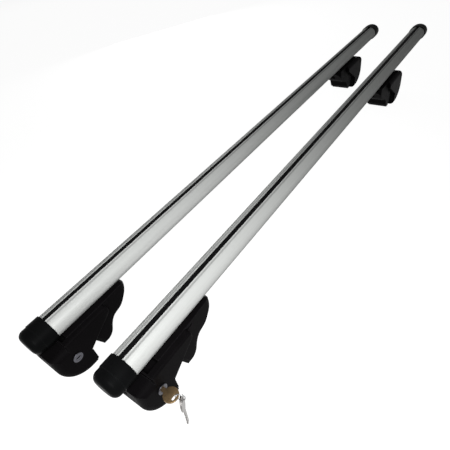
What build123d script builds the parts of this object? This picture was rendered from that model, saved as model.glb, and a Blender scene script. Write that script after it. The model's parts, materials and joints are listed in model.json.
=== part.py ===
from build123d import *
import math
import os

# Cross bars: overall length over the end caps, oval section, and how the pair lies
bar_length = 1200.0
bar_width = 39.0
bar_height = 33.0
bar_wall = 2.0
bar_spacing = 128.0
bar_stagger = 16.0
bar_axis_height = 88.0

# T-slots along the top and the underside of a bar
lip_thickness = 2.2
slot_wall = 1.8
top_slot_opening = 8.0
top_slot_width = 13.0
top_slot_depth = 5.0
low_slot_opening = 9.0
low_slot_width = 15.0
low_slot_depth = 4.6

# Rubber strip in the top slot
strip_gap = 0.15
strip_sink = 0.5
strip_foot_depth = 3.0

# End caps: a sleeve over the bar, a rounded nose, and two plugs in the bar's hollows
cap_length = 33.0
cap_overlap = 18.0
cap_wall = 1.7
cap_gap = 0.15
cap_nose_radius = 9.0
cap_step = 0.7
plug_length = 15.0
plug_gap = 0.25

# Foot body: cradle under the bar, inner jaw and tail
cradle_gap = 0.3
cradle_wall = 3.5
cradle_rise = 3.0
spine_thickness = 7.5
spine_reach = 36.0
jaw_lean = 8.0
jaw_knee_height = 28.0
jaw_bottom_height = 10.0
jaw_heel = 10.0
tail_length = 71.0
tail_tip_width = 42.0
tail_taper_start = 20.0
tail_tip_round = 12.0
tail_tip_drop = 4.0
tail_top_setback = 6.0
tail_wave = [(18.0, 55.5), (24.0, 43.5), (34.0, 33.0), (46.0, 30.0), (57.0, 20.5)]

# Tongue and groove between foot body and hook
slide_gap = 0.4
groove_depth = 3.0
groove_height = 4.0
groove_rise = 2.5
groove_end = 27.0
rib_reach = 38.0
rib_back = 20.0

# Hook: outer leg, nose under the end cap, and two wings beside the bar
hook_lock_half = 33.0
hook_plain_half = 30.0
hook_length = 51.0
hook_leg_wall = 6.0
hook_bottom_round = 40.0
hook_nose_rise = 2.0
hook_nose_round = 14.0
hook_side_round = 10.0
shoulder_back = 27.0
shoulder_round = 8.0
wing_reach = 45.0
wing_tip_depth = 12.0
wing_tip_round = 5.0
mouth_corner_height = 29.0
channel_back = 25.0
bar_tunnel_gap = 0.6
hook_edge_round = 3.0
plain_edge_round = 8.0

# Rubber pads on the rail faces
jaw_pad_thickness = 4.0
jaw_pad_lip = 2.0
jaw_pad_drop = 10.0
jaw_pad_margin = 1.0
hook_pad_thickness = 3.0
hook_pad_bottom = 4.0
hook_pad_top = 25.0
hook_pad_margin = 4.0
pad_groove_count = 3
pad_groove_depth = 1.0
pad_groove_width = 2.0

# Slot plate and its screws
plate_gap = 0.2
plate_side_gap = 0.4
plate_back = 32.0
plate_front = 70.0
screw_places = [-22.0, 62.0]
screw_diameter = 6.0
screw_head_diameter = 10.5
screw_head_height = 3.3
screw_head_round = 1.2
screw_socket_across = 4.0
screw_socket_depth = 2.0
screw_seat_sink = 4.0
screw_hole_gap = 0.2
screw_thread_gap = 0.05
screw_head_gap = 0.45

# Clamp bolt and nut
bolt_drop = 10.0
bolt_diameter = 8.0
bolt_length = 75.0
bolt_head_diameter = 13.0
bolt_head_height = 8.0
bolt_socket_across = 6.0
bolt_socket_depth = 4.0
bolt_hole_gap = 0.4
bolt_head_gap = 0.3
bolt_thread_gap = 0.05
bolt_bore_end = 53.0
nut_across = 13.0
nut_height = 6.5
nut_gap = 0.2
nut_place = 8.0
nut_turn = 30.0

# Lock in the hook's side
lock_back = 22.0
lock_drop = 11.0
barrel_diameter = 12.0
barrel_length = 26.0
barrel_gap = 0.1
bezel_diameter = 14.5
bezel_height = 1.6
bezel_round = 0.6
cylinder_diameter = 9.0
cylinder_length = 24.4
cylinder_gap = 0.05
cylinder_sink = 0.2
keyway_width = 6.4
keyway_height = 2.2
keyway_depth = 22.0
cam_shaft_side = 4.6
cam_shaft_gap = 0.1
cam_shaft_bore_gap = 0.5
cam_length = 15.0
cam_width = 7.0
cam_thickness = 3.0
cam_rest_angle = 225.0
cam_slot_gap = 1.7
cam_swing_gap = 1.5

# Keys and ring
bow_diameter = 20.0
bow_thickness = 2.2
bow_slot_centre = 5.4
bow_slot_length = 8.4
bow_slot_width = 3.8
bow_edge_round = 0.4
key_neck = 2.5
key_blade_width = 5.8
key_blade_thickness = 1.8
key_blade_length = 16.0
key_notches = [4.0, 7.5, 11.0]
key_notch_depth = 1.4
ring_radius = 6.2
ring_wire = 1.4
ring_drop = 3.5
ring_side_angle = 24.0
ring_hang_angle = 38.0
spare_tip_height = 3.0
spare_heading = -45.0
spare_twist = 6.0
spare_seat_gap = 0.9

# Feet: name, bar side, bar end, distance from the bar's end to the jaw's tip, clamp opening
feet = [
    ("right_near", 1, -1, 97.0, 30.0),
    ("left_near", -1, -1, 73.5, 19.0),
    ("right_far", 1, 1, 308.0, 20.0),
    ("left_far", -1, 1, 218.0, 15.0),
]

# Sizes that follow from the ones above
tube_length = bar_length - 2 * (cap_length - cap_overlap)
cap_nose = cap_length - cap_overlap
bar_underside = bar_axis_height - bar_height / 2
spine_bottom = bar_underside - spine_thickness
cradle_top = bar_underside + cradle_rise
bolt_height = spine_bottom - bolt_drop
lock_height = bolt_height - lock_drop
hook_nose_height = spine_bottom + hook_nose_rise
jaw_pad_top = bolt_height - jaw_pad_drop
body_half = bar_width / 2 + cradle_wall
channel_half = body_half + slide_gap
hook_width = hook_lock_half + hook_plain_half
hook_middle = (hook_lock_half - hook_plain_half) / 2
groove_bottom = spine_bottom + groove_rise
leg_face = -hook_pad_thickness
head_seat = leg_face - hook_leg_wall
screw_seat = spine_bottom + screw_seat_sink
lip_bottom = bar_height / 2 - lip_thickness
lock_face = hook_lock_half + bezel_height - cylinder_sink
bow_centre = lock_face + key_neck + bow_diameter / 2
inner_half_width = bar_width / 2 - bar_wall
inner_half_height = bar_height / 2 - bar_wall
os.makedirs("parts", exist_ok=True)


def save(part, name):
    """Label a finished piece and write it under its name."""
    part.label = name
    export_step(part, f"parts/{name}.step")


# Cross bar: oval tube with walled T-slots above and below
with BuildSketch() as tube_wall:
    Ellipse(bar_width / 2, bar_height / 2)
    Ellipse(inner_half_width, inner_half_height, mode=Mode.SUBTRACT)

top_block_floor = lip_bottom - top_slot_depth - slot_wall
low_block_roof = -lip_bottom + low_slot_depth + slot_wall

with BuildPart() as cross_bar:
    with BuildSketch(Plane.XZ):
        with Locations((0, (top_block_floor + bar_height / 2) / 2)):
            Rectangle(top_slot_width + 2 * slot_wall, bar_height / 2 - top_block_floor)
        with Locations((0, (low_block_roof - bar_height / 2) / 2)):
            Rectangle(low_slot_width + 2 * slot_wall, low_block_roof + bar_height / 2)
        Ellipse(bar_width / 2, bar_height / 2, mode=Mode.INTERSECT)
        add(tube_wall.sketch)
        with Locations((0, lip_bottom - top_slot_depth / 2)):
            Rectangle(top_slot_width, top_slot_depth, mode=Mode.SUBTRACT)
        with Locations((0, bar_height / 2)):
            Rectangle(top_slot_opening, 2 * lip_thickness, mode=Mode.SUBTRACT)
        with Locations((0, low_slot_depth / 2 - lip_bottom)):
            Rectangle(low_slot_width, low_slot_depth, mode=Mode.SUBTRACT)
        with Locations((0, -bar_height / 2)):
            Rectangle(low_slot_opening, 2 * lip_thickness, mode=Mode.SUBTRACT)
    extrude(amount=tube_length / 2, both=True)

# Top strip: neck between the lips, foot held under them, crown a little below the bar's
strip_top = bar_height / 2 - strip_sink
strip_neck = top_slot_opening - 2 * strip_gap
strip_foot_top = lip_bottom - strip_gap

with BuildPart() as top_strip:
    with BuildSketch(Plane.XZ):
        with Locations((0, (strip_top + strip_foot_top) / 2)):
            Rectangle(strip_neck, strip_top - strip_foot_top)
        with Locations((0, strip_foot_top - strip_foot_depth / 2)):
            Rectangle(top_slot_width - 2 * strip_gap, strip_foot_depth)
    extrude(amount=tube_length / 2, both=True)

# End cap for the near end: its open sleeve points along +Y and its seat is at Y = 0
with BuildPart() as end_cap:
    with BuildSketch(Plane.XZ):
        Ellipse(bar_width / 2 + cap_wall, bar_height / 2 + cap_wall)
    extrude(amount=-cap_overlap)
    with BuildSketch(Plane.XZ):
        Ellipse(bar_width / 2 + cap_wall - cap_step, bar_height / 2 + cap_wall - cap_step)
    extrude(amount=cap_nose)
    fillet(end_cap.edges().group_by(Axis.Y)[0], cap_nose_radius)
    with BuildSketch(Plane.XZ):
        Ellipse(bar_width / 2 + cap_gap, bar_height / 2 + cap_gap)
    extrude(amount=-cap_overlap, mode=Mode.SUBTRACT)
    with BuildSketch(Plane.XZ):
        Ellipse(inner_half_width - plug_gap, inner_half_height - plug_gap)
        Rectangle(low_slot_width + 2 * (slot_wall + plug_gap), bar_height, mode=Mode.SUBTRACT)
    extrude(amount=-plug_length)

# Foot body: side profile, trimmed by its tapering plan, then hollowed for bar, bolt, nut and screws
wave_points = [(y, bar_underside - drop) for y, drop in tail_wave]
tail_tip = (tail_length, bar_underside - tail_tip_drop)

with BuildPart() as foot_body:
    with BuildSketch(Plane.YZ):
        with BuildLine():
            Polyline(
                (tail_length - tail_top_setback, cradle_top),
                (-spine_reach, cradle_top),
                (-spine_reach, spine_bottom),
                (jaw_pad_thickness - jaw_lean, spine_bottom),
                (jaw_pad_thickness - jaw_lean, jaw_knee_height),
                (jaw_pad_thickness, jaw_bottom_height),
                (jaw_heel, jaw_bottom_height),
            )
            Spline((jaw_heel, jaw_bottom_height), *wave_points, tail_tip)
            Line(tail_tip, (tail_length - tail_top_setback, cradle_top))
        make_face()
    extrude(amount=body_half, both=True)
    with BuildSketch(Plane.XY):
        with BuildLine():
            Polyline(
                (-body_half, -spine_reach),
                (body_half, -spine_reach),
                (body_half, tail_taper_start),
                (tail_tip_width / 2, tail_length),
                (-tail_tip_width / 2, tail_length),
                (-body_half, tail_taper_start),
                close=True,
            )
        plan_face = make_face()
        fillet(plan_face.vertices().group_by(Axis.Y)[-1], tail_tip_round)
    extrude(amount=cradle_top, mode=Mode.INTERSECT)
    with BuildSketch(Plane.XZ.offset(spine_reach)):
        with Locations((0, bar_axis_height)):
            Ellipse(bar_width / 2 + cradle_gap, bar_height / 2 + cradle_gap)
    extrude(amount=-(spine_reach + tail_length), mode=Mode.SUBTRACT)
    for side in (-1, 1):
        with Locations((side * body_half, (groove_end - spine_reach) / 2, groove_bottom + groove_height / 2)):
            Box(2 * groove_depth, groove_end + spine_reach, groove_height, mode=Mode.SUBTRACT)
    with BuildSketch(Plane.XZ.offset(jaw_lean)):
        with Locations((0, bolt_height)):
            Circle(bolt_diameter / 2 + bolt_hole_gap)
    extrude(amount=-(jaw_lean + bolt_bore_end), mode=Mode.SUBTRACT)
    with BuildSketch(Plane.XZ.offset(-nut_place)):
        with Locations((-body_half / 2, bolt_height)):
            Rectangle(body_half, nut_across + 2 * nut_gap)
        with Locations((0, bolt_height)):
            RegularPolygon(nut_across / 2 + nut_gap, 6, major_radius=False, rotation=nut_turn)
    extrude(amount=-(nut_height + 2 * nut_gap), mode=Mode.SUBTRACT)
    with BuildSketch(Plane.XY):
        with Locations(*[(0, place) for place in screw_places]):
            Circle(screw_head_diameter / 2 + screw_head_gap)
    extrude(amount=screw_seat, mode=Mode.SUBTRACT)
    with BuildSketch(Plane.XY):
        with Locations(*[(0, place) for place in screw_places]):
            Circle(screw_diameter / 2 + screw_hole_gap)
    extrude(amount=cradle_top, mode=Mode.SUBTRACT)

# Jaw pad: lies on the jaw's face and wraps under its tip
with BuildPart() as jaw_pad:
    with BuildSketch(Plane.YZ):
        with BuildLine():
            Polyline(
                (-jaw_lean, jaw_pad_top),
                (-jaw_lean, jaw_knee_height - jaw_pad_lip / 2),
                (0, jaw_bottom_height - jaw_pad_lip),
                (jaw_heel, jaw_bottom_height - jaw_pad_lip),
                (jaw_heel, jaw_bottom_height),
                (jaw_pad_thickness, jaw_bottom_height),
                (jaw_pad_thickness - jaw_lean, jaw_knee_height),
                (jaw_pad_thickness - jaw_lean, jaw_pad_top),
                close=True,
            )
        make_face()
    extrude(amount=body_half - jaw_pad_margin, both=True)
    for step in range(pad_groove_count):
        groove_z = jaw_knee_height + (step + 1) * (jaw_pad_top - jaw_knee_height) / (pad_groove_count + 1)
        with Locations((0, -jaw_lean, groove_z)):
            Box(2 * body_half, 2 * pad_groove_depth, pad_groove_width, mode=Mode.SUBTRACT)

# Slot plate: runs in the bar's lower slot, just above the lips
plate_bottom = bar_axis_height - lip_bottom + plate_gap
plate_top = bar_axis_height - lip_bottom + low_slot_depth - plate_gap

with BuildPart() as slot_plate:
    with BuildSketch(Plane.XY.offset(plate_bottom)):
        with Locations((0, (plate_front - plate_back) / 2)):
            Rectangle(low_slot_width - 2 * plate_side_gap, plate_front + plate_back)
        with Locations(*[(0, place) for place in screw_places]):
            Circle(screw_diameter / 2 + screw_thread_gap, mode=Mode.SUBTRACT)
    extrude(amount=plate_top - plate_bottom)

# Fixing screws: domed heads below, shanks up through the slot plate
with BuildPart() as fixing_screws:
    with BuildSketch(Plane.XY.offset(screw_seat)):
        with Locations(*[(0, place) for place in screw_places]):
            Circle(screw_head_diameter / 2)
    extrude(amount=-screw_head_height)
    fillet(fixing_screws.edges().group_by(Axis.Z)[0], screw_head_round)
    with BuildSketch(Plane.XY.offset(screw_seat - screw_head_height)):
        with Locations(*[(0, place) for place in screw_places]):
            RegularPolygon(screw_socket_across / 2, 6, major_radius=False)
    extrude(amount=screw_socket_depth, mode=Mode.SUBTRACT)
    with BuildSketch(Plane.XY.offset(screw_seat)):
        with Locations(*[(0, place) for place in screw_places]):
            Circle(screw_diameter / 2)
    extrude(amount=plate_top - screw_seat)

# Clamp nut: slipped into the jaw's side slot
with BuildPart() as clamp_nut:
    with BuildSketch(Plane.XZ.offset(-nut_place - nut_gap)):
        with Locations((0, bolt_height)):
            RegularPolygon(nut_across / 2, 6, major_radius=False, rotation=nut_turn)
            Circle(bolt_diameter / 2 + bolt_thread_gap, mode=Mode.SUBTRACT)
    extrude(amount=-nut_height)

# Hook, in its own frame: the rail pad's face is at Y = 0 and the bar's middle lies along +Y
with BuildPart() as hook_leg:
    with BuildSketch(Plane.YZ.offset(-hook_plain_half)):
        with Locations(((leg_face - hook_length) / 2, hook_nose_height / 2)):
            leg_outline = Rectangle(hook_length + leg_face, hook_nose_height)
        outer_corners = leg_outline.vertices().group_by(Axis.X)[0].sort_by(Axis.Y)
        fillet(outer_corners[0], hook_bottom_round)
        fillet(outer_corners[-1], hook_nose_round)
    extrude(amount=hook_width)
    for side_face in (hook_leg.faces().sort_by(Axis.X)[0], hook_leg.faces().sort_by(Axis.X)[-1]):
        fillet(side_face.edges().sort_by(Axis.Y)[:-1], hook_side_round)

with BuildPart() as hook_wings:
    with BuildSketch(Plane.YZ.offset(-hook_plain_half)):
        with BuildLine():
            Polyline(
                (leg_face, mouth_corner_height),
                (wing_reach, cradle_top - wing_tip_depth),
                (wing_reach, cradle_top),
                (-shoulder_back, cradle_top),
                (-shoulder_back, mouth_corner_height),
                close=True,
            )
        wing_outline = make_face()
        fillet(wing_outline.vertices().group_by(Axis.X)[-1], wing_tip_round)
        fillet(wing_outline.vertices().group_by(Axis.X)[0].sort_by(Axis.Y)[-1], shoulder_round)
    extrude(amount=hook_width)
    fillet(hook_wings.faces().sort_by(Axis.X)[-1].edges(), hook_edge_round)
    with BuildSketch(Plane.XZ.offset(shoulder_back)):
        with Locations((hook_middle, cradle_top / 2)):
            wing_section = Rectangle(hook_width, cradle_top)
        fillet(wing_section.vertices().group_by(Axis.X)[0].sort_by(Axis.Y)[-1], plain_edge_round)
    extrude(amount=-(shoulder_back + wing_reach), mode=Mode.INTERSECT)

with BuildPart() as hook:
    add(hook_leg.part)
    add(hook_wings.part)
    with BuildSketch(Plane.XY.offset(spine_bottom - slide_gap)):
        with Locations((0, (wing_reach - channel_back) / 2)):
            Rectangle(2 * channel_half, wing_reach + channel_back)
    extrude(amount=cradle_top, mode=Mode.SUBTRACT)
    with BuildSketch(Plane.XY):
        with Locations((0, (wing_reach + leg_face) / 2)):
            Rectangle(2 * channel_half, wing_reach - leg_face)
    extrude(amount=cradle_top, mode=Mode.SUBTRACT)
    with BuildSketch(Plane.XZ.offset(-leg_face)):
        with Locations((0, bar_axis_height)):
            Ellipse(bar_width / 2 + cap_wall + bar_tunnel_gap, bar_height / 2 + cap_wall + bar_tunnel_gap)
    extrude(amount=hook_length, mode=Mode.SUBTRACT)
    for side in (-1, 1):
        rib_x = side * (channel_half - (groove_depth - slide_gap) / 2)
        with Locations((rib_x, (rib_reach - rib_back) / 2, groove_bottom + groove_height / 2)):
            Box(groove_depth - slide_gap, rib_reach + rib_back, groove_height - 2 * slide_gap)
    with BuildSketch(Plane.XZ.offset(-leg_face)):
        with Locations((0, bolt_height)):
            Circle(bolt_diameter / 2 + bolt_hole_gap)
    extrude(amount=hook_leg_wall, mode=Mode.SUBTRACT)
    with BuildSketch(Plane.XZ.offset(-head_seat)):
        with Locations((0, bolt_height)):
            Circle(bolt_head_diameter / 2 + bolt_head_gap)
    extrude(amount=hook_length, mode=Mode.SUBTRACT)
    with BuildSketch(Plane.YZ.offset(hook_lock_half)):
        with Locations((-lock_back, lock_height)):
            Circle(barrel_diameter / 2 + barrel_gap)
    extrude(amount=-barrel_length, mode=Mode.SUBTRACT)
    with BuildSketch(Plane.YZ):
        with Locations((-lock_back, lock_height)):
            Circle(cam_shaft_side / math.sqrt(2) + cam_shaft_bore_gap)
    extrude(amount=hook_lock_half - barrel_length, mode=Mode.SUBTRACT)
    with BuildSketch(Plane.YZ):
        with Locations((-lock_back, lock_height)):
            Circle(cam_length + cam_swing_gap)
        with Locations((-lock_back - cam_length / 2, lock_height / 2)):
            Rectangle(cam_length, lock_height)
        with Locations((-lock_back - hook_length / 2, bolt_height)):
            Rectangle(hook_length + cam_width + 2 * cam_swing_gap, 2 * bolt_height, mode=Mode.INTERSECT)
    extrude(amount=cam_thickness / 2 + cam_slot_gap, both=True, mode=Mode.SUBTRACT)

# Hook pad: ribbed rubber plate on the leg's rail face
with BuildPart() as hook_pad:
    with BuildSketch(Plane.XZ.offset(-leg_face)):
        with Locations((hook_middle, (hook_pad_bottom + hook_pad_top) / 2)):
            Rectangle(hook_width - 2 * hook_pad_margin, hook_pad_top - hook_pad_bottom)
    extrude(amount=-hook_pad_thickness)
    for step in range(pad_groove_count):
        groove_z = hook_pad_bottom + (step + 1) * (hook_pad_top - hook_pad_bottom) / (pad_groove_count + 1)
        with Locations((0, 0, groove_z)):
            Box(2 * hook_width, 2 * pad_groove_depth, pad_groove_width, mode=Mode.SUBTRACT)

# Clamp bolt: head in the hook, shank through the jaw's nut
with BuildPart() as clamp_bolt:
    with BuildSketch(Plane.XZ.offset(-head_seat)):
        with Locations((0, bolt_height)):
            Circle(bolt_head_diameter / 2)
    extrude(amount=bolt_head_height)
    with BuildSketch(Plane.XZ.offset(bolt_head_height - head_seat)):
        with Locations((0, bolt_height)):
            RegularPolygon(bolt_socket_across / 2, 6, major_radius=False)
    extrude(amount=-bolt_socket_depth, mode=Mode.SUBTRACT)
    with BuildSketch(Plane.XZ.offset(-head_seat)):
        with Locations((0, bolt_height)):
            Circle(bolt_diameter / 2)
    extrude(amount=-bolt_length)

# Lock barrel: housing with a rounded bezel against the hook's side
lock_plane = Plane((hook_lock_half, -lock_back, lock_height), x_dir=(0, 1, 0), z_dir=(1, 0, 0))

with BuildPart() as lock_barrel:
    with BuildSketch(lock_plane):
        Circle(barrel_diameter / 2)
    extrude(amount=-barrel_length)
    with BuildSketch(lock_plane):
        Circle(bezel_diameter / 2)
    extrude(amount=bezel_height)
    fillet(lock_barrel.edges().group_by(Axis.X)[-1], bezel_round)
    with BuildSketch(lock_plane.offset(bezel_height)):
        Circle(cylinder_diameter / 2 + cylinder_gap)
    extrude(amount=-(bezel_height + barrel_length), mode=Mode.SUBTRACT)

# Lock cylinder: plug with a level keyway and a square shaft that carries the cam
cylinder_face = lock_plane.offset(bezel_height - cylinder_sink)
cam_shaft_length = lock_face - cylinder_length + cam_thickness / 2

with BuildPart() as lock_cylinder:
    with BuildSketch(cylinder_face):
        Circle(cylinder_diameter / 2)
    extrude(amount=-cylinder_length)
    with BuildSketch(cylinder_face):
        Rectangle(keyway_width, keyway_height)
    extrude(amount=-keyway_depth, mode=Mode.SUBTRACT)
    with BuildSketch(cylinder_face.offset(-cylinder_length)):
        Rectangle(cam_shaft_side, cam_shaft_side)
    extrude(amount=-cam_shaft_length)

# Lock cam: arm that points down and outwards when the lock is open
cam_plane = Plane((-cam_thickness / 2, -lock_back, lock_height), x_dir=(0, 1, 0), z_dir=(1, 0, 0))

with BuildPart() as lock_cam:
    with BuildSketch(cam_plane):
        with Locations(Location((0, 0, 0), (0, 0, cam_rest_angle))):
            SlotCenterPoint((cam_length / 2 - cam_width / 4, 0), (cam_length - cam_width / 2, 0), cam_width)
        Rectangle(cam_shaft_side + 2 * cam_shaft_gap, cam_shaft_side + 2 * cam_shaft_gap, mode=Mode.SUBTRACT)
    extrude(amount=cam_thickness)


def make_key(plane):
    """Flat key: round bow at the plane's origin, blade along its -X, cross slot on its +X side."""
    with BuildPart() as flat_key:
        with BuildSketch(plane.offset(-bow_thickness / 2)):
            Circle(bow_diameter / 2)
        extrude(amount=bow_thickness)
        fillet(flat_key.edges().filter_by(GeomType.CIRCLE), bow_edge_round)
        with BuildSketch(plane.offset(-bow_thickness / 2)):
            with Locations((bow_slot_centre, 0)):
                SlotOverall(bow_slot_length, bow_slot_width, rotation=90)
        extrude(amount=bow_thickness, mode=Mode.SUBTRACT)
        blade_reach = bow_diameter / 2 + key_neck + key_blade_length
        with BuildSketch(plane.offset(-key_blade_thickness / 2)):
            with Locations((-blade_reach / 2, 0)):
                Rectangle(blade_reach, key_blade_width)
            for place in key_notches:
                with Locations((place - blade_reach, key_blade_width / 2)):
                    Circle(key_notch_depth, mode=Mode.SUBTRACT)
        extrude(amount=key_blade_thickness)
    return flat_key.part


# Key in the right near lock, its bow level
key = make_key(Plane((bow_centre, -lock_back, lock_height)))

# Key ring: passes through the bow's slot and hangs over its rim
ring_way = Vector(1, 0, 0).rotate(Axis.Z, ring_side_angle)
slot_end = bow_slot_length / 2 - bow_slot_width / 2
slot_edge = math.hypot(bow_slot_centre, slot_end) + bow_slot_width / 2
rim_middle = (slot_edge + bow_diameter / 2) / 2
ring_out = rim_middle + ring_drop * math.sin(math.radians(ring_hang_angle))
ring_down = ring_drop * math.cos(math.radians(ring_hang_angle))
ring_centre = Vector(bow_centre, -lock_back, lock_height) + ring_way * ring_out - Vector(0, 0, ring_down)
ring_plane = Plane(ring_centre, x_dir=ring_way, z_dir=ring_way.rotate(Axis.Z, 90))

with BuildPart() as key_ring:
    with Locations(ring_plane.location):
        Torus(ring_radius, ring_wire / 2)

# Spare key: hangs from the ring's lowest point and leans on its tip
spare_seat = bow_slot_centre + bow_slot_width / 2 - ring_wire / 2 - spare_seat_gap
spare_reach = spare_seat + bow_diameter / 2 + key_neck + key_blade_length
spare_pivot = ring_centre - Vector(0, 0, ring_radius)
spare_lean = math.acos(min(1, (spare_pivot.Z - spare_tip_height) / spare_reach))
spare_level = Vector(1, 0, 0).rotate(Axis.Z, spare_heading)
spare_way = spare_level * math.sin(spare_lean) - Vector(0, 0, math.cos(spare_lean))
spare_normal = spare_level.rotate(Axis.Z, 90).rotate(Axis((0, 0, 0), spare_way), spare_twist)
spare_key = make_key(Plane(spare_pivot + spare_way * spare_seat, x_dir=spare_way * -1, z_dir=spare_normal))

# Place the pieces: origin on the ground, in the middle of the part's box
spare_tip = spare_pivot + spare_way * spare_reach
spare_edge = abs(spare_normal.cross(spare_way).X) * key_blade_width / 2
spare_face = abs(spare_normal.X) * key_blade_thickness / 2
key_side = spare_tip.X + spare_edge + spare_face
lock_side = hook_lock_half + bezel_height
bars_middle = (lock_side - key_side) / 2
right_bar_x = bars_middle + bar_spacing / 2
left_bar_x = bars_middle - bar_spacing / 2

for side, bar_x in (("right", right_bar_x), ("left", left_bar_x)):
    bar_y = bar_stagger / 2 if side == "right" else -bar_stagger / 2
    bar_place = Location((bar_x, bar_y, bar_axis_height))
    save(cross_bar.part.moved(bar_place), f"{side}_cross_bar")
    save(top_strip.part.moved(bar_place), f"{side}_top_strip")
    save(end_cap.part.moved(bar_place * Pos(0, -tube_length / 2, 0)), f"{side}_cap_near")
    save(end_cap.part.moved(bar_place * Pos(0, tube_length / 2, 0) * Rot(0, 0, 180)), f"{side}_cap_far")

body_pieces = {
    "foot_body": foot_body,
    "jaw_pad": jaw_pad,
    "slot_plate": slot_plate,
    "fixing_screws": fixing_screws,
    "clamp_nut": clamp_nut,
}
hook_pieces = {
    "hook": hook,
    "hook_pad": hook_pad,
    "clamp_bolt": clamp_bolt,
    "lock_barrel": lock_barrel,
    "lock_cylinder": lock_cylinder,
    "lock_cam": lock_cam,
}

for foot_name, bar_side, bar_end, setback, opening in feet:
    bar_x = right_bar_x if bar_side > 0 else left_bar_x
    foot_y = bar_side * bar_stagger / 2 + bar_end * (bar_length / 2 - setback)
    foot_place = Location((bar_x, foot_y, 0), (0, 0, 0 if bar_end < 0 else 180))
    hook_place = foot_place * Pos(0, -opening, 0)
    for piece_name, piece in body_pieces.items():
        save(piece.part.moved(foot_place), f"{foot_name}_{piece_name}")
    for piece_name, piece in hook_pieces.items():
        save(piece.part.moved(hook_place), f"{foot_name}_{piece_name}")
    if foot_name == "right_near":
        save(key.moved(hook_place), "key")
        save(key_ring.part.moved(hook_place), "key_ring")
        save(spare_key.moved(hook_place), "spare_key")
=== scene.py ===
import json
import math

import bpy
from mathutils import Matrix, Vector


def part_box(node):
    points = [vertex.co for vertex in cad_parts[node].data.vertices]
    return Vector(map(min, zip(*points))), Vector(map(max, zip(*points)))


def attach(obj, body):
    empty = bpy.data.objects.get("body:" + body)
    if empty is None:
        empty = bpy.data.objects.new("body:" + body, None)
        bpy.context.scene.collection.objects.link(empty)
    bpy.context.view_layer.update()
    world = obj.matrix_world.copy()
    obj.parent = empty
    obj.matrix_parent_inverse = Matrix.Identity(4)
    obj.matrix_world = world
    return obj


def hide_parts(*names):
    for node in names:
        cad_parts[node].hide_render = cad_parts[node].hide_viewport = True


bl_info = {
    "name": "Roof Rack Dresser",
    "version": (1, 0, 0),
    "blender": (4, 5, 0),
    "location": "View3D > Sidebar > Roof Rack",
    "description": "Gives a pair of roof bars their finishes, slot strips, key ring and stage",
    "category": "Object",
}

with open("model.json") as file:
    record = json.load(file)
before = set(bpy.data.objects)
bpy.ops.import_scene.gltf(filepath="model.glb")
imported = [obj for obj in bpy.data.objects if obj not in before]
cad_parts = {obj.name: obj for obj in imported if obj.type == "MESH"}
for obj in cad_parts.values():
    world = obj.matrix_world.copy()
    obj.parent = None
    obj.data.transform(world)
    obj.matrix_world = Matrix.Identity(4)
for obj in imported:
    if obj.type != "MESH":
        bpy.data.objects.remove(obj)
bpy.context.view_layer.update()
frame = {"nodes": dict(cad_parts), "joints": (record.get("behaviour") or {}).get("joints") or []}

SIDES = ("right", "left")
ENDS = ("near", "far")
FEET = ("right_near", "left_near", "right_far", "left_far")
PADS = ("jaw_pad", "hook_pad")
MOULDINGS = ("hook", "foot_body")
FASTENERS = ("slot_plate", "fixing_screws", "clamp_nut", "clamp_bolt", "lock_cam")
LOCK_PIECES = ("lock_barrel", "lock_cylinder")

WHITE = (1.0, 1.0, 1.0, 1.0)
BLACK = (0.0, 0.0, 0.0, 1.0)

# Place of each lamp, the point that it looks at, and its side, in metres
KEY_LAMP = ((0.40, -0.72, 0.58), (0.0, -0.40, 0.09), 0.3)
SOFT_BOX = ((0.0, 0.0, 1.3), (0.0, 0.0, 0.09), 1.2)
BACK_BOX = ((-1.1, 0.75, 0.20), (0.0, 0.15, 0.09), 0.5)

FILM_WIDTH = 36.0
NEAREST_SEEN = 0.01

# Floor: its own grey, its look around the rack, and where it starts to fade
FLOOR_GREY = (0.28, 0.28, 0.28, 1.0)
FLOOR_LOOK = (0.955, 0.955, 0.955, 1.0)
FADE_START = 2.8

# Noise on the finishes: patches per metre, and how finely they break up
CLOUDS, CLOUD_DETAIL = 38.0, 4.0
SCUFFS, SCUFF_DETAIL = 160.0, 3.0
GRAIN_DETAIL = 4.0
DUST, DUST_DETAIL = 240.0, 5.0
MARKS, MARK_DETAIL = 60.0, 6.0
MOTTLE_DETAIL = 4.0
LINE_DETAIL = 2.0
DIE_LINE_DETAIL = 3.0

# Drawn-out noise: patches per metre along each axis
DIE_LINES = (1700.0, 2.5, 1700.0)
DIE_BANDS = (260.0, 0.8, 260.0)
RUBBER_LINES = (2600.0, 9.0, 2600.0)
SCRATCHES = (900.0, 5200.0, 3100.0)

# Width of the rolled edges, in metres
MOULDED_EDGE = 0.0012
RUBBER_EDGE = 0.0004
BAR_EDGE = 0.0003
METAL_EDGE = 0.0003
WORN_METAL_EDGE = 0.0004
EDGE_SAMPLES = 6

# Cosine of the turn at which an edge counts fully in the edge mask, which lightens worn edges and
# paints a highlight along the mouldings' ridges
FULL_EDGE_TURN = 0.8

# Shallow groove beside each lip of a bar's top slot, darkened with painted shade: distance from the
# middle and width, in metres
SHADED_GROOVE_OFFSET = 0.0068
SHADED_GROOVE_WIDTH = 0.0022

RING_SIDES = 14
MERGE_DISTANCE = 0.000001
SMOOTH_ANGLE = math.radians(40)


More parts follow.
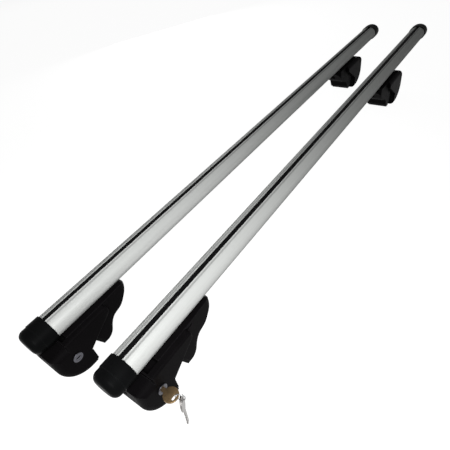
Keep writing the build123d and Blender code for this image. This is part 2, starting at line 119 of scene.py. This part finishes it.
class RackFinishes(bpy.types.PropertyGroup):
    """Colours of the rack's materials"""

    anodised: bpy.props.FloatVectorProperty(
        name="Anodised bar", description="Colour of the satin bars",
        subtype="COLOR", default=(0.647, 0.66, 0.645),
    )
    moulding: bpy.props.FloatVectorProperty(
        name="Foot moulding", description="Colour of hooks and foot bodies",
        subtype="COLOR", default=(0.0042, 0.0038, 0.0042),
    )
    cap_moulding: bpy.props.FloatVectorProperty(
        name="End cap", description="Colour of the end caps",
        subtype="COLOR", default=(0.0042, 0.0044, 0.0046),
    )
    rubber: bpy.props.FloatVectorProperty(
        name="Rubber", description="Colour of strips and pads",
        subtype="COLOR", default=(0.0036, 0.0036, 0.0038),
    )
    zinc: bpy.props.FloatVectorProperty(
        name="Zinc plate", description="Colour of bolts, screws and plates",
        subtype="COLOR", default=(0.50, 0.49, 0.46),
    )
    lock_plate: bpy.props.FloatVectorProperty(
        name="Lock plating", description="Colour of barrels and cylinders",
        subtype="COLOR", default=(0.11, 0.11, 0.125),
    )
    key_brass: bpy.props.FloatVectorProperty(
        name="Brass key", description="Colour of the key in the lock",
        subtype="COLOR", default=(0.32, 0.22, 0.115),
    )
    key_steel: bpy.props.FloatVectorProperty(
        name="Steel key", description="Colour of ring and spare key",
        subtype="COLOR", default=(0.34, 0.33, 0.32),
    )


class RackStage(bpy.types.PropertyGroup):
    """Floor, light and camera"""

    floor_size: bpy.props.FloatProperty(
        name="Floor size", description="Side of the square floor",
        subtype="DISTANCE", unit="LENGTH", default=16.0,
    )
    key_power: bpy.props.FloatProperty(
        name="Key light", description="Power of the lamp beside the camera",
        subtype="POWER", unit="POWER", default=1.58,
    )
    key_spread: bpy.props.FloatProperty(
        name="Key spread", description="Width of the key light's beam",
        subtype="ANGLE", unit="ROTATION", default=math.radians(90),
    )
    fill_power: bpy.props.FloatProperty(
        name="Soft box", description="Power of the wide lamp above the bars",
        subtype="POWER", unit="POWER", default=0.3,
    )
    back_power: bpy.props.FloatProperty(
        name="Back light", description="Power of the low lamp behind the bars",
        subtype="POWER", unit="POWER", default=3.4,
    )
    sky_level: bpy.props.FloatProperty(
        name="Sky", description="Brightness of the surroundings", min=0.0, default=0.03
    )
    backdrop: bpy.props.FloatProperty(
        name="Backdrop", description="Brightness of the surroundings where they are seen",
        min=0.0, max=1.0, default=0.52,
    )
    camera_place: bpy.props.FloatVectorProperty(
        name="Camera place", description="Where the camera stands",
        subtype="TRANSLATION", unit="LENGTH", default=(0.31188, -0.63374, 0.47611),
    )
    camera_turn: bpy.props.FloatVectorProperty(
        name="Camera turn", description="How the camera is turned",
        subtype="EULER", unit="ROTATION",
        default=(math.radians(47.855), math.radians(8.410), math.radians(35.250)),
    )
    camera_lens: bpy.props.FloatProperty(
        name="Lens", description="Focal length in millimetres on a 36 mm frame", default=30.4
    )


class RackStrip(bpy.types.PropertyGroup):
    """Rubber strip in a bar's top slot"""

    width: bpy.props.FloatProperty(
        name="Width", description="Width between the slot's lips",
        subtype="DISTANCE", unit="LENGTH", default=0.0076,
    )
    depth: bpy.props.FloatProperty(
        name="Depth", description="Thickness of the strip",
        subtype="DISTANCE", unit="LENGTH", default=0.0025,
    )
    sink: bpy.props.FloatProperty(
        name="Sink", description="How far the strip lies below the slot's mouth",
        subtype="DISTANCE", unit="LENGTH", default=0.0007,
    )
    ribs: bpy.props.IntProperty(name="Ribs", description="Ribs along the strip", min=1, default=3)
    rib_depth: bpy.props.FloatProperty(
        name="Rib depth", description="Depth between the ribs",
        subtype="DISTANCE", unit="LENGTH", default=0.0004,
    )


class RackRing(bpy.types.PropertyGroup):
    """Split ring of the keys"""

    wire: bpy.props.FloatProperty(
        name="Wire", description="Thickness of the ring's wire",
        subtype="DISTANCE", unit="LENGTH", default=0.00075,
    )
    pitch: bpy.props.FloatProperty(
        name="Pitch", description="Distance between the middles of two turns",
        subtype="DISTANCE", unit="LENGTH", default=0.00078,
    )
    turns: bpy.props.IntProperty(
        name="Turns", description="Turns of wire in the ring", min=1, default=2
    )
    steps: bpy.props.IntProperty(
        name="Steps", description="Segments in each turn", min=12, default=64
    )


class Wire:
    """One output socket of a material's nodes, which can be used in sums"""

    def __init__(self, socket):
        self.socket = socket
        self.tree = socket.id_data

    @staticmethod
    def node(tree, kind, settings=None, sockets=None, output=0):
        """Add a node: its settings first, then the values or links of its sockets"""
        made = tree.nodes.new(kind)
        for name, setting in (settings or {}).items():
            setattr(made, name, setting)
        for name, value in (sockets or {}).items():
            if isinstance(value, Wire):
                tree.links.new(value.socket, made.inputs[name])
            else:
                made.inputs[name].default_value = value
        return Wire(made.outputs[output])

    def other(self, output):
        """Another output of the same node"""
        return Wire(self.socket.node.outputs[output])

    def maths(self, operation, *values):
        """Add a Math node"""
        settings = {"operation": operation}
        return Wire.node(self.tree, "ShaderNodeMath", settings, dict(enumerate(values)))

    def __abs__(self):
        return self.maths("ABSOLUTE", self)

    def __add__(self, other):
        return self.maths("ADD", self, other)

    def __sub__(self, other):
        return self.maths("SUBTRACT", self, other)

    def __rsub__(self, other):
        return self.maths("SUBTRACT", other, self)

    def __mul__(self, other):
        return self.maths("MULTIPLY", self, other)

    __radd__ = __add__
    __rmul__ = __mul__


def rgba(colour, factor=1.0):
    """A colour property, made lighter or darker, with full opacity"""
    return tuple(min(1.0, channel * factor) for channel in colour) + (1.0,)


def new_finish(name):
    """A material, its nodes, its shader, and the place of each point on the piece"""
    finish = bpy.data.materials.new(name)
    finish.use_nodes = True
    tree = finish.node_tree
    place = Wire.node(tree, "ShaderNodeTexCoord", output="Object")
    return finish, tree, tree.nodes["Principled BSDF"], place


def noise(tree, place, scale, detail, stretch=(1.0, 1.0, 1.0)):
    """Soft noise from 0 to 1; stretch squeezes it along each axis"""
    squeezed = Wire.node(tree, "ShaderNodeMapping", None, {"Vector": place, "Scale": stretch})
    sockets = {"Vector": squeezed, "Scale": scale, "Detail": detail}
    return Wire.node(tree, "ShaderNodeTexNoise", None, sockets)


def blend_colours(tree, factor, low, high):
    """Mix of two colours"""
    sockets = {0: factor, 6: low, 7: high}
    return Wire.node(tree, "ShaderNodeMix", {"data_type": "RGBA"}, sockets, output=2)


def smooth_range(tree, value, start, end):
    """0 at the start and 1 at the end, with soft shoulders"""
    sockets = {"Value": value, "From Min": start, "From Max": end}
    return Wire.node(tree, "ShaderNodeMapRange", {"interpolation_type": "SMOOTHSTEP"}, sockets)


def soft_edges(tree, width):
    """Normal that rolls over sharp edges"""
    return Wire.node(tree, "ShaderNodeBevel", {"samples": EDGE_SAMPLES}, {"Radius": width})


def edge_wear_and_highlight(tree, width):
    """Mask that is 1 on sharp edges and 0 on flats"""
    plain = Wire.node(tree, "ShaderNodeNewGeometry", output="Normal")
    together = Wire.node(
        tree, "ShaderNodeVectorMath", {"operation": "DOT_PRODUCT"},
        {0: soft_edges(tree, width), 1: plain}, output="Value",
    )
    sockets = {"Value": together, "From Min": 1.0, "From Max": FULL_EDGE_TURN}
    return Wire.node(tree, "ShaderNodeMapRange", None, sockets)


def bumped(tree, height, strength, depth, width):
    """Normal with a fine relief on rolled edges"""
    rolled = soft_edges(tree, width)
    sockets = {"Height": height, "Strength": strength, "Distance": depth, "Normal": rolled}
    return Wire.node(tree, "ShaderNodeBump", None, sockets)


def connect(tree, shader, **wires):
    """Link the wires to the shader's sockets, by socket name with underscores"""
    for name, wire in wires.items():
        tree.links.new(wire.socket, shader.inputs[name.replace("_", " ")])


def fix(shader, **values):
    """Set what is the same all over the surface, by socket name with underscores"""
    for name, value in values.items():
        shader.inputs[name.replace("_", " ")].default_value = value


def moulded_plastic(name, colour, grain, relief, smoothest, worn):
    """Black moulding: fine spark-eroded grain, faint cloudiness, lighter edges that are partly
    scuffed wear and partly a painted highlight along the ridges
    """
    finish, tree, shader, place = new_finish(name)
    fine = noise(tree, place, grain, GRAIN_DETAIL)
    cloud = noise(tree, place, CLOUDS, CLOUD_DETAIL)
    wear_and_highlight = edge_wear_and_highlight(tree, MOULDED_EDGE) * noise(tree, place, SCUFFS, SCUFF_DETAIL)
    body = blend_colours(tree, cloud, rgba(colour, 0.75), rgba(colour, 1.5))
    connect(
        tree, shader,
        # The base colour is lightened on the edges: scuffed wear, and a painted highlight along the
        # ridges
        Base_Color=blend_colours(tree, wear_and_highlight, body, rgba(colour, worn)),
        Roughness=smoothest + fine * 0.16 + cloud * 0.10 - wear_and_highlight * 0.10,
        Normal=bumped(tree, fine, strength=0.35, depth=relief, width=MOULDED_EDGE),
    )
    fix(shader, Specular_IOR_Level=0.012)
    return finish


def soft_rubber(name, colour):
    """Matte rubber with fine dusty mottling and faint lengthwise extrusion lines"""
    smoothest = 0.58
    finish, tree, shader, place = new_finish(name)
    dust = noise(tree, place, DUST, DUST_DETAIL)
    lines = noise(tree, place, 1.0, LINE_DETAIL, RUBBER_LINES)
    connect(
        tree, shader,
        Base_Color=blend_colours(tree, dust, rgba(colour, 0.8), rgba(colour, 1.7)),
        Roughness=smoothest + dust * 0.18 + lines * 0.08,
        Normal=bumped(tree, lines, strength=0.25, depth=0.00008, width=RUBBER_EDGE),
    )
    fix(shader, Specular_IOR_Level=0.05)
    return finish


def anodised_bar(name, colour, middle):
    """Satin anodised extrusion: die lines, a shallow groove beside each lip of the slot with
    painted shade darkening it, handling marks
    """
    smoothest = 0.36
    finish, tree, shader, place = new_finish(name)
    lines = noise(tree, place, 1.0, DIE_LINE_DETAIL, DIE_LINES)
    bands = noise(tree, place, 1.0, LINE_DETAIL, DIE_BANDS)
    marks = noise(tree, place, MARKS, MARK_DETAIL)
    across = Wire.node(tree, "ShaderNodeSeparateXYZ", None, {"Vector": place}, output="X") - middle
    shaded_groove = smooth_range(tree, abs(abs(across) - SHADED_GROOVE_OFFSET), SHADED_GROOVE_WIDTH, 0.0)
    tone = lines * 0.55 + bands * 0.45
    metal = blend_colours(tree, tone, rgba(colour, 0.86), rgba(colour, 1.12))
    connect(
        tree, shader,
        # The groove's colour is pulled towards 0.30 of the metal: painted shade in the crease
        Base_Color=blend_colours(tree, shaded_groove * 0.55, metal, rgba(colour, 0.30)),
        Roughness=smoothest + lines * 0.10 + marks * 0.06,
        Normal=bumped(tree, lines * 0.05 - shaded_groove, strength=0.6, depth=0.0004, width=BAR_EDGE),
    )
    fix(shader, Metallic=0.15, Specular_IOR_Level=0.0, Specular_Tint=(0.3, 0.3, 0.3, 1.0))
    return finish


def plated_metal(name, colour, smoothest, mottling, polish):
    """Plated or bare metal: mottled tone, fine scratches, brighter edges"""
    finish, tree, shader, place = new_finish(name)
    mottle = noise(tree, place, mottling, MOTTLE_DETAIL)
    scratch = noise(tree, place, 1.0, LINE_DETAIL, SCRATCHES)
    body = blend_colours(tree, mottle, rgba(colour, 0.72), rgba(colour, 1.12))
    wear_and_highlight = edge_wear_and_highlight(tree, WORN_METAL_EDGE) * 0.7
    connect(
        tree, shader,
        Base_Color=blend_colours(tree, wear_and_highlight, body, rgba(colour, polish)),
        Roughness=smoothest + mottle * 0.14 + scratch * 0.08,
        Normal=bumped(tree, scratch, strength=0.15, depth=0.00003, width=METAL_EDGE),
    )
    fix(shader, Metallic=1.0)
    return finish


def seen_rays(tree):
    """1 for rays that show a backdrop to the eye: straight, mirrored or through glass"""
    straight = Wire.node(tree, "ShaderNodeLightPath", output="Is Camera Ray")
    return straight + straight.other("Is Glossy Ray") + straight.other("Is Transmission Ray")


def pale_floor(name, stage):
    """Matte floor that looks white around the rack and fades into the backdrop far away"""
    finish, tree, shader, place = new_finish(name)
    away = Wire.node(
        tree, "ShaderNodeVectorMath", {"operation": "LENGTH"}, {0: place}, output="Value"
    )
    fade = smooth_range(tree, away, FADE_START, stage.floor_size / 2)
    glow = blend_colours(tree, fade, FLOOR_LOOK, rgba(WHITE[:3], stage.backdrop))
    connect(tree, shader, Emission_Color=blend_colours(tree, seen_rays(tree), BLACK, glow))
    fix(shader, Emission_Strength=1.0, Base_Color=FLOOR_GREY, Roughness=1.0, Specular_IOR_Level=0.0)
    return finish


def studio_world(name, stage):
    """Surroundings that give little light, and look pale where they are seen"""
    world = bpy.data.worlds.new(name)
    world.use_nodes = True
    tree = world.node_tree
    dim = tree.nodes["Background"]
    fix(dim, Color=WHITE, Strength=stage.sky_level)
    pale = Wire.node(
        tree, "ShaderNodeBackground", None, {"Color": WHITE, "Strength": stage.backdrop}
    )
    lights = {0: seen_rays(tree), 1: Wire(dim.outputs[0]), 2: pale}
    backdrop = Wire.node(tree, "ShaderNodeMixShader", None, lights)
    tree.links.new(backdrop.socket, tree.nodes["World Output"].inputs["Surface"])
    return world


def dress(finish, nodes):
    """Put a finish on CAD nodes"""
    for name in nodes:
        for slot in frame["nodes"][name].material_slots:
            slot.material = finish


def on_feet(pieces):
    """The nodes of these pieces on all four feet"""
    return [f"{foot}_{piece}" for foot in FEET for piece in pieces]


def corners(node):
    """Lowest and highest corner of a CAD node"""
    low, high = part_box(node)
    return Vector(low), Vector(high)


def start_fresh(piece=None):
    """Leave edit mode, then select one piece or nothing"""
    if bpy.context.object and bpy.context.object.mode != "OBJECT":
        bpy.ops.object.mode_set(mode="OBJECT")
    bpy.ops.object.select_all(action="DESELECT")
    if piece:
        piece.select_set(True)
        bpy.context.view_layer.objects.active = piece


class RACK_OT_bars(bpy.types.Operator):
    """Give the cross bars their anodised finish"""

    bl_idname = "rack.bars"
    bl_label = "Cross Bars"

    def execute(self, context):
        for side in SIDES:
            bar = f"{side}_cross_bar"
            low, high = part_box(bar)
            colour = context.scene.rack_finishes.anodised
            dress(anodised_bar(f"{side}_anodised", colour, (low[0] + high[0]) / 2), [bar])
        return {"FINISHED"}


class RACK_OT_rubber(bpy.types.Operator):
    """Give the slot strips and rail pads their rubber"""

    bl_idname = "rack.rubber"
    bl_label = "Rubber Strips and Pads"

    def execute(self, context):
        finish = soft_rubber("soft_rubber", context.scene.rack_finishes.rubber)
        dress(finish, [f"{side}_top_strip" for side in SIDES])
        dress(finish, on_feet(PADS))
        return {"FINISHED"}


class RACK_OT_strips(bpy.types.Operator):
    """Lay a ribbed rubber strip between the lips of each bar's top slot"""

    bl_idname = "rack.strips"
    bl_label = "Slot Strips"

    def model(self, context, strip, length):
        """One strip, centred on the origin, with its underside on the ground"""
        columns = strip.ribs * 2
        start_fresh()
        bpy.ops.mesh.primitive_grid_add(x_subdivisions=columns, y_subdivisions=1, size=1.0)
        rubber = context.object
        bpy.ops.object.mode_set(mode="EDIT")
        bpy.ops.mesh.select_all(action="SELECT")
        bpy.ops.transform.resize(value=(strip.width, length, 1.0), center_override=(0, 0, 0))
        bpy.ops.mesh.extrude_region_move(TRANSFORM_OT_translate={"value": (0, 0, strip.depth)})
        bpy.ops.object.mode_set(mode="OBJECT")
        for vertex in rubber.data.vertices:
            column = round((vertex.co.x / strip.width + 0.5) * columns)
            vertex.select = vertex.co.z > strip.depth / 2 and column % 2 == 0
        bpy.ops.object.mode_set(mode="EDIT")
        bpy.ops.transform.translate(value=(0, 0, -strip.rib_depth))
        bpy.ops.mesh.select_all(action="SELECT")
        bpy.ops.mesh.normals_make_consistent(inside=False)
        bpy.ops.object.mode_set(mode="OBJECT")
        rubber.data.materials.append(bpy.data.materials["soft_rubber"])
        return rubber

    def execute(self, context):
        strip = context.scene.rack_strip
        first, *others = SIDES
        low, high = corners(f"{first}_top_strip")
        laid = {first: self.model(context, strip, high.y - low.y)}
        for side in others:
            bpy.ops.object.duplicate(linked=False)
            laid[side] = context.object
        for side, rubber in laid.items():
            low, high = corners(f"{side}_top_strip")
            rubber.name = f"{side}_ribbed_strip"
            rubber.location = (low + high) / 2
            rubber.location.z = high.z - strip.sink - strip.depth
            start_fresh(rubber)
            bpy.ops.object.transform_apply(location=True, rotation=True, scale=True)
            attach(rubber, "bars")
            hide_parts(f"{side}_top_strip")
        return {"FINISHED"}


class RACK_OT_caps(bpy.types.Operator):
    """Give the end caps their grained moulding"""

    bl_idname = "rack.caps"
    bl_label = "End Caps"

    def execute(self, context):
        colour = context.scene.rack_finishes.cap_moulding
        finish = moulded_plastic(
            "cap_moulding", colour, grain=1500.0, relief=0.00006, smoothest=0.26, worn=3.0
        )
        dress(finish, [f"{side}_cap_{end}" for side in SIDES for end in ENDS])
        return {"FINISHED"}


class RACK_OT_feet(bpy.types.Operator):
    """Give hooks and foot bodies their grained moulding"""

    bl_idname = "rack.feet"
    bl_label = "Clamp Feet"

    def execute(self, context):
        colour = context.scene.rack_finishes.moulding
        # The sevenfold edge lightening here is partly wear and partly a painted highlight along the
        # feet's ridges
        finish = moulded_plastic(
            "foot_moulding", colour, grain=1100.0, relief=0.00009, smoothest=0.36, worn=7.0
        )
        dress(finish, on_feet(MOULDINGS))
        return {"FINISHED"}


class RACK_OT_hardware(bpy.types.Operator):
    """Give bolts, nuts, screws, plates and cams their zinc plating"""

    bl_idname = "rack.hardware"
    bl_label = "Hardware"

    def execute(self, context):
        colour = context.scene.rack_finishes.zinc
        finish = plated_metal("zinc_plate", colour, smoothest=0.34, mottling=320.0, polish=1.5)
        dress(finish, on_feet(FASTENERS))
        return {"FINISHED"}


class RACK_OT_locks(bpy.types.Operator):
    """Give the lock barrels and cylinders their plating"""

    bl_idname = "rack.locks"
    bl_label = "Locks"

    def execute(self, context):
        colour = context.scene.rack_finishes.lock_plate
        finish = plated_metal("lock_plating", colour, smoothest=0.22, mottling=500.0, polish=1.4)
        dress(finish, on_feet(LOCK_PIECES))
        return {"FINISHED"}


class RACK_OT_keys(bpy.types.Operator):
    """Give both keys their metal"""

    bl_idname = "rack.keys"
    bl_label = "Keys"

    def execute(self, context):
        colour = context.scene.rack_finishes.key_brass
        brass = plated_metal("key_brass", colour, smoothest=0.28, mottling=420.0, polish=1.5)
        dress(brass, ["key"])
        colour = context.scene.rack_finishes.key_steel
        steel = plated_metal("key_steel", colour, smoothest=0.24, mottling=420.0, polish=1.4)
        dress(steel, ["spare_key"])
        return {"FINISHED"}


class RACK_OT_split_ring(bpy.types.Operator):
    """Wind the split ring where the key ring hangs"""

    bl_idname = "rack.split_ring"
    bl_label = "Split Ring"

    def execute(self, context):
        size = context.scene.rack_ring
        hinge = next(joint for joint in frame["joints"] if joint["name"] == "ring_swing")
        axis = Vector(hinge["axis"]).normalized()
        low, high = corners("key_ring")
        outer = (high.z - low.z) / 2
        start_fresh()
        bpy.ops.mesh.primitive_circle_add(
            vertices=RING_SIDES, radius=size.wire / 2, fill_type="NOTHING"
        )
        ring = context.object
        ring.name = "split_ring"
        bpy.ops.object.mode_set(mode="EDIT")
        bpy.ops.mesh.select_all(action="SELECT")
        bpy.ops.transform.rotate(value=math.pi / 2, orient_axis="X", center_override=(0, 0, 0))
        bpy.ops.transform.translate(value=(outer - size.wire / 2, 0, -size.pitch * size.turns / 2))
        bpy.ops.object.mode_set(mode="OBJECT")
        bpy.ops.object.modifier_add(type="SCREW")
        winding = ring.modifiers[-1]
        winding.axis = "Z"
        winding.angle = 2 * math.pi
        winding.screw_offset = size.pitch
        winding.iterations = size.turns
        winding.steps = winding.render_steps = size.steps
        bpy.ops.object.modifier_apply(modifier=winding.name)
        bpy.ops.object.mode_set(mode="EDIT")
        bpy.ops.mesh.select_all(action="SELECT")
        bpy.ops.mesh.remove_doubles(threshold=MERGE_DISTANCE)
        bpy.ops.mesh.fill_holes(sides=0)
        bpy.ops.mesh.select_all(action="SELECT")
        bpy.ops.mesh.normals_make_consistent(inside=False)
        bpy.ops.object.mode_set(mode="OBJECT")
        bpy.ops.object.shade_smooth_by_angle(angle=SMOOTH_ANGLE)
        turned = axis.to_track_quat("Z", "Y").to_matrix().to_4x4()
        ring.matrix_world = Matrix.Translation((low + high) / 2) @ turned
        bpy.ops.object.transform_apply(location=True, rotation=True, scale=True)
        ring.data.materials.append(bpy.data.materials["key_steel"])
        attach(ring, "ring")
        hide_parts("key_ring")
        return {"FINISHED"}


class RACK_OT_stage(bpy.types.Operator):
    """Set up the floor, the lamps, the surroundings and the camera"""

    bl_idname = "rack.stage"
    bl_label = "Stage"

    def lamp(self, context, name, setting, power, spread=math.pi):
        """A square soft lamp that looks at a point"""
        place, aim, size = setting
        start_fresh()
        bpy.ops.object.light_add(type="AREA", location=place)
        lamp = context.object
        lamp.name = name
        lamp.rotation_euler = (Vector(aim) - Vector(place)).to_track_quat("-Z", "Y").to_euler()
        lamp.data.energy = power
        lamp.data.size = size
        lamp.data.spread = spread

    def execute(self, context):
        stage = context.scene.rack_stage
        start_fresh()
        bpy.ops.mesh.primitive_plane_add(size=stage.floor_size)
        floor = context.object
        floor.name = "floor"
        floor.data.materials.append(pale_floor("pale_floor", stage))
        self.lamp(context, "key_lamp", KEY_LAMP, stage.key_power, stage.key_spread)
        self.lamp(context, "soft_box", SOFT_BOX, stage.fill_power)
        self.lamp(context, "back_box", BACK_BOX, stage.back_power)
        context.scene.world = studio_world("studio", stage)
        start_fresh()
        bpy.ops.object.camera_add(location=stage.camera_place, rotation=stage.camera_turn)
        camera = context.object
        camera.name = "camera"
        camera.data.lens = stage.camera_lens
        camera.data.sensor_width = FILM_WIDTH
        camera.data.clip_start = NEAREST_SEEN
        context.scene.camera = camera
        context.scene.view_settings.view_transform = "Standard"
        return {"FINISHED"}


class RACK_PT_panel(bpy.types.Panel):
    """Lists the rack's steps and sizes in the sidebar"""

    bl_idname = "RACK_PT_panel"
    bl_label = "Roof Rack"
    bl_space_type = "VIEW_3D"
    bl_region_type = "UI"
    bl_category = "Roof Rack"

    def draw(self, context):
        for step in STEPS:
            self.layout.operator(step.bl_idname)
        for group_name, group in GROUPS.items():
            for name in group.__annotations__:
                self.layout.prop(getattr(context.scene, group_name), name)


STEPS = (
    RACK_OT_stage,
    RACK_OT_bars,
    RACK_OT_rubber,
    RACK_OT_strips,
    RACK_OT_caps,
    RACK_OT_feet,
    RACK_OT_hardware,
    RACK_OT_locks,
    RACK_OT_keys,
    RACK_OT_split_ring,
)
GROUPS = {
    "rack_finishes": RackFinishes,
    "rack_stage": RackStage,
    "rack_strip": RackStrip,
    "rack_ring": RackRing,
}


def register():
    for kind in (*GROUPS.values(), *STEPS, RACK_PT_panel):
        bpy.utils.register_class(kind)
    for name, group in GROUPS.items():
        setattr(bpy.types.Scene, name, bpy.props.PointerProperty(type=group))


def unregister():
    for name in GROUPS:
        delattr(bpy.types.Scene, name)
    for kind in reversed((*GROUPS.values(), *STEPS, RACK_PT_panel)):
        bpy.utils.unregister_class(kind)


def main():
    """Dress the rack, step by step"""
    register()
    bpy.ops.rack.stage()
    bpy.ops.rack.bars()
    bpy.ops.rack.rubber()
    bpy.ops.rack.strips()
    bpy.ops.rack.caps()
    bpy.ops.rack.feet()
    bpy.ops.rack.hardware()
    bpy.ops.rack.locks()
    bpy.ops.rack.keys()
    bpy.ops.rack.split_ring()


if __name__ == "__main__":
    main()
